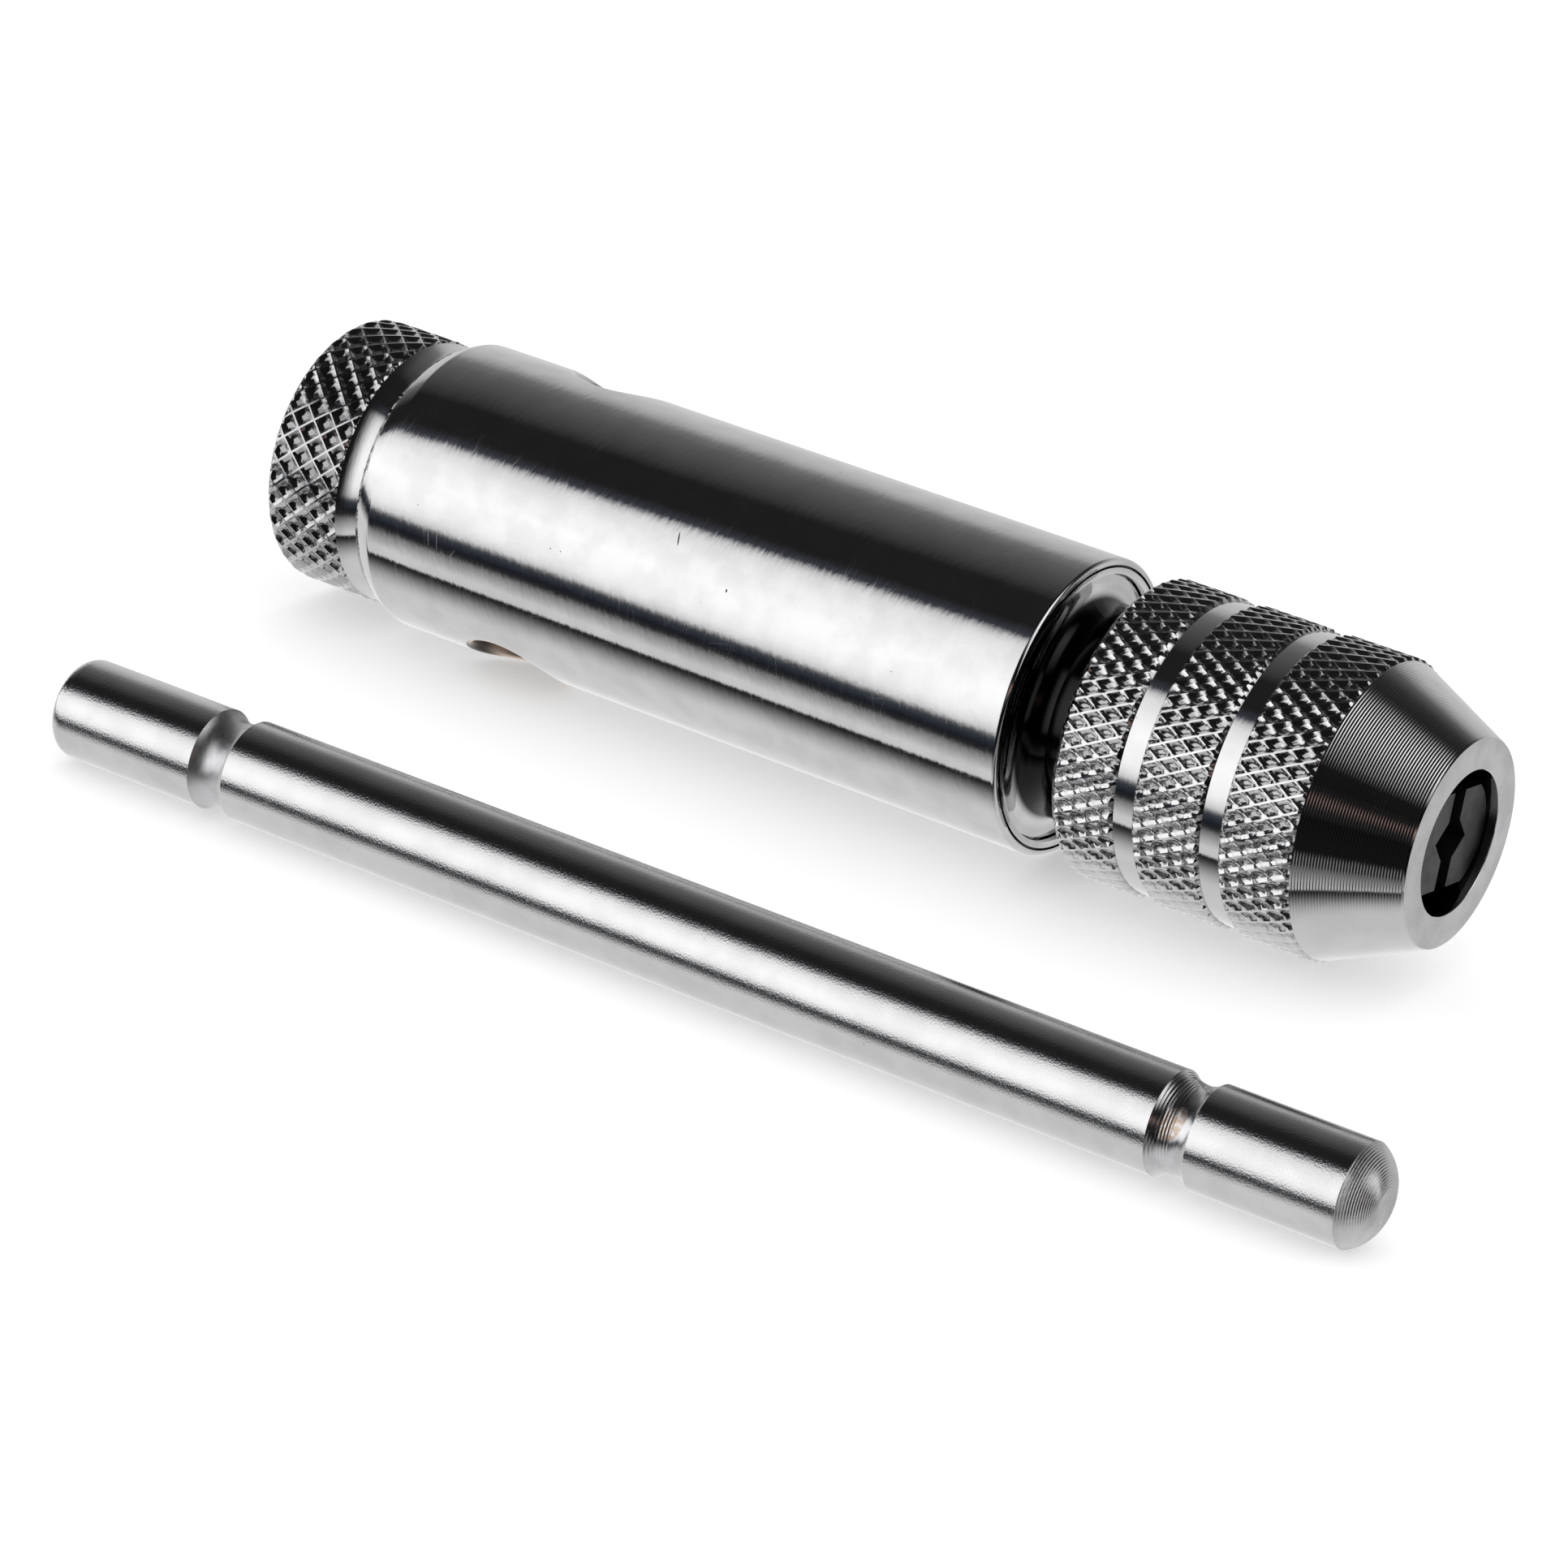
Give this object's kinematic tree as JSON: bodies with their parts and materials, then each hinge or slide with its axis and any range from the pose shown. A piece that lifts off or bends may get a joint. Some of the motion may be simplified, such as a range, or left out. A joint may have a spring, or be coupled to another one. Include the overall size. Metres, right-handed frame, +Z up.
{
  "type": "ratchet tap wrench",
  "caption": "Ratchet tap wrench: turned barrel with a knurled reversing knob and a knurled screw chuck for square tap shanks, with its loose T-bar lying beside it.",
  "frame": {"origin": "centre of the cross hole for the T-bar, on the wrench's axis", "axes": "+X along the wrench's axis from the knob to the chuck's nose, +Z up, with the wrench and its bar lying on a table below"},
  "size_m": [0.1187, 0.0589, 0.023],
  "materials": {
    "chrome_plate": "bright chrome plate over turned steel",
    "plain_steel": "turned steel, unplated",
    "spring_steel": "hard bright wire and balls",
    "hard_steel": "hardened grey steel",
    "bearing_bronze": "plain bearing bronze",
    "black_oxide": "black oxide on hardened steel, satin"
  },
  "bodies": {
    "barrel": {"barrel": "chrome_plate", "bar_carrier": "plain_steel", "bar_detent_ball": "spring_steel", "bar_detent_spring": "spring_steel", "bar_detent_plug": "plain_steel", "front_bush": "bearing_bronze", "thrust_washer": "bearing_bronze", "spindle_snap_ring": "spring_steel", "pawl_pin_right": "spring_steel", "pawl_pin_left": "spring_steel", "pawl_spring_right": "spring_steel", "pawl_spring_left": "spring_steel", "t_bar": "chrome_plate"},
    "selector": {"selector_fork": "plain_steel", "selector_knob": "chrome_plate", "knob_screw": "plain_steel", "selector_detent_ball": "spring_steel", "selector_detent_spring": "spring_steel"},
    "right_pawl": {"pawl_right": "hard_steel"},
    "left_pawl": {"pawl_left": "hard_steel"},
    "spindle": {"spindle": "chrome_plate", "ratchet_wheel": "hard_steel", "wheel_screw": "plain_steel", "jaw_spring": "spring_steel"},
    "stop_ring": {"sleeve_stop_ring": "spring_steel"},
    "sleeve": {"chuck_sleeve": "chrome_plate"},
    "far_jaw": {"jaw_far": "black_oxide"},
    "near_jaw": {"jaw_near": "black_oxide"}
  },
  "joints": [
    {"name": "selector_turn", "type": "hinge", "parent": "barrel", "child": "selector", "pos_m": [-0.018, 0, 0], "axis": [1, 0, 0], "range_deg": [-22, 22]},
    {"name": "right_pawl_swing", "type": "hinge", "parent": "barrel", "child": "right_pawl", "pos_m": [0.0203, 0.00368, 0.00755], "axis": [1, 0, 0], "range_deg": [-9, 9], "deforming": ["pawl_spring_right"]},
    {"name": "left_pawl_swing", "type": "hinge", "parent": "barrel", "child": "left_pawl", "pos_m": [0.0203, -0.00368, -0.00755], "axis": [1, 0, 0], "range_deg": [-9, 9], "deforming": ["pawl_spring_left"]},
    {"name": "spindle_turn", "type": "hinge", "parent": "barrel", "child": "spindle", "pos_m": [0.044, 0, 0], "axis": [1, 0, 0], "continuous": true},
    {"name": "ring_slide", "type": "slide", "parent": "spindle", "child": "stop_ring", "axis": [1, 0, 0], "range_m": [-0.0017, 0.00361]},
    {"name": "sleeve_turn", "type": "hinge", "parent": "stop_ring", "child": "sleeve", "pos_m": [0.065, 0, 0], "axis": [1, 0, 0], "range_deg": [-408.1, 866.5]},
    {"name": "far_jaw_slide", "type": "slide", "parent": "spindle", "child": "far_jaw", "axis": [0, 0.9962, -0.0872], "range_m": [-0.0008, 0.0017], "deforming": ["jaw_spring"]},
    {"name": "near_jaw_slide", "type": "slide", "parent": "spindle", "child": "near_jaw", "axis": [0, -0.9962, 0.0872], "range_m": [-0.0008, 0.0017]}
  ],
  "couplings": [
    {"joint": "right_pawl_swing", "follows": "selector_turn", "ratio": -0.40909},
    {"joint": "left_pawl_swing", "follows": "selector_turn", "ratio": -0.40909},
    {"joint": "sleeve_turn", "follows": "ring_slide", "rad_per_m": 4188.8},
    {"joint": "far_jaw_slide", "follows": "ring_slide", "ratio": 0.47056},
    {"joint": "near_jaw_slide", "follows": "ring_slide", "ratio": 0.47056}
  ]
}
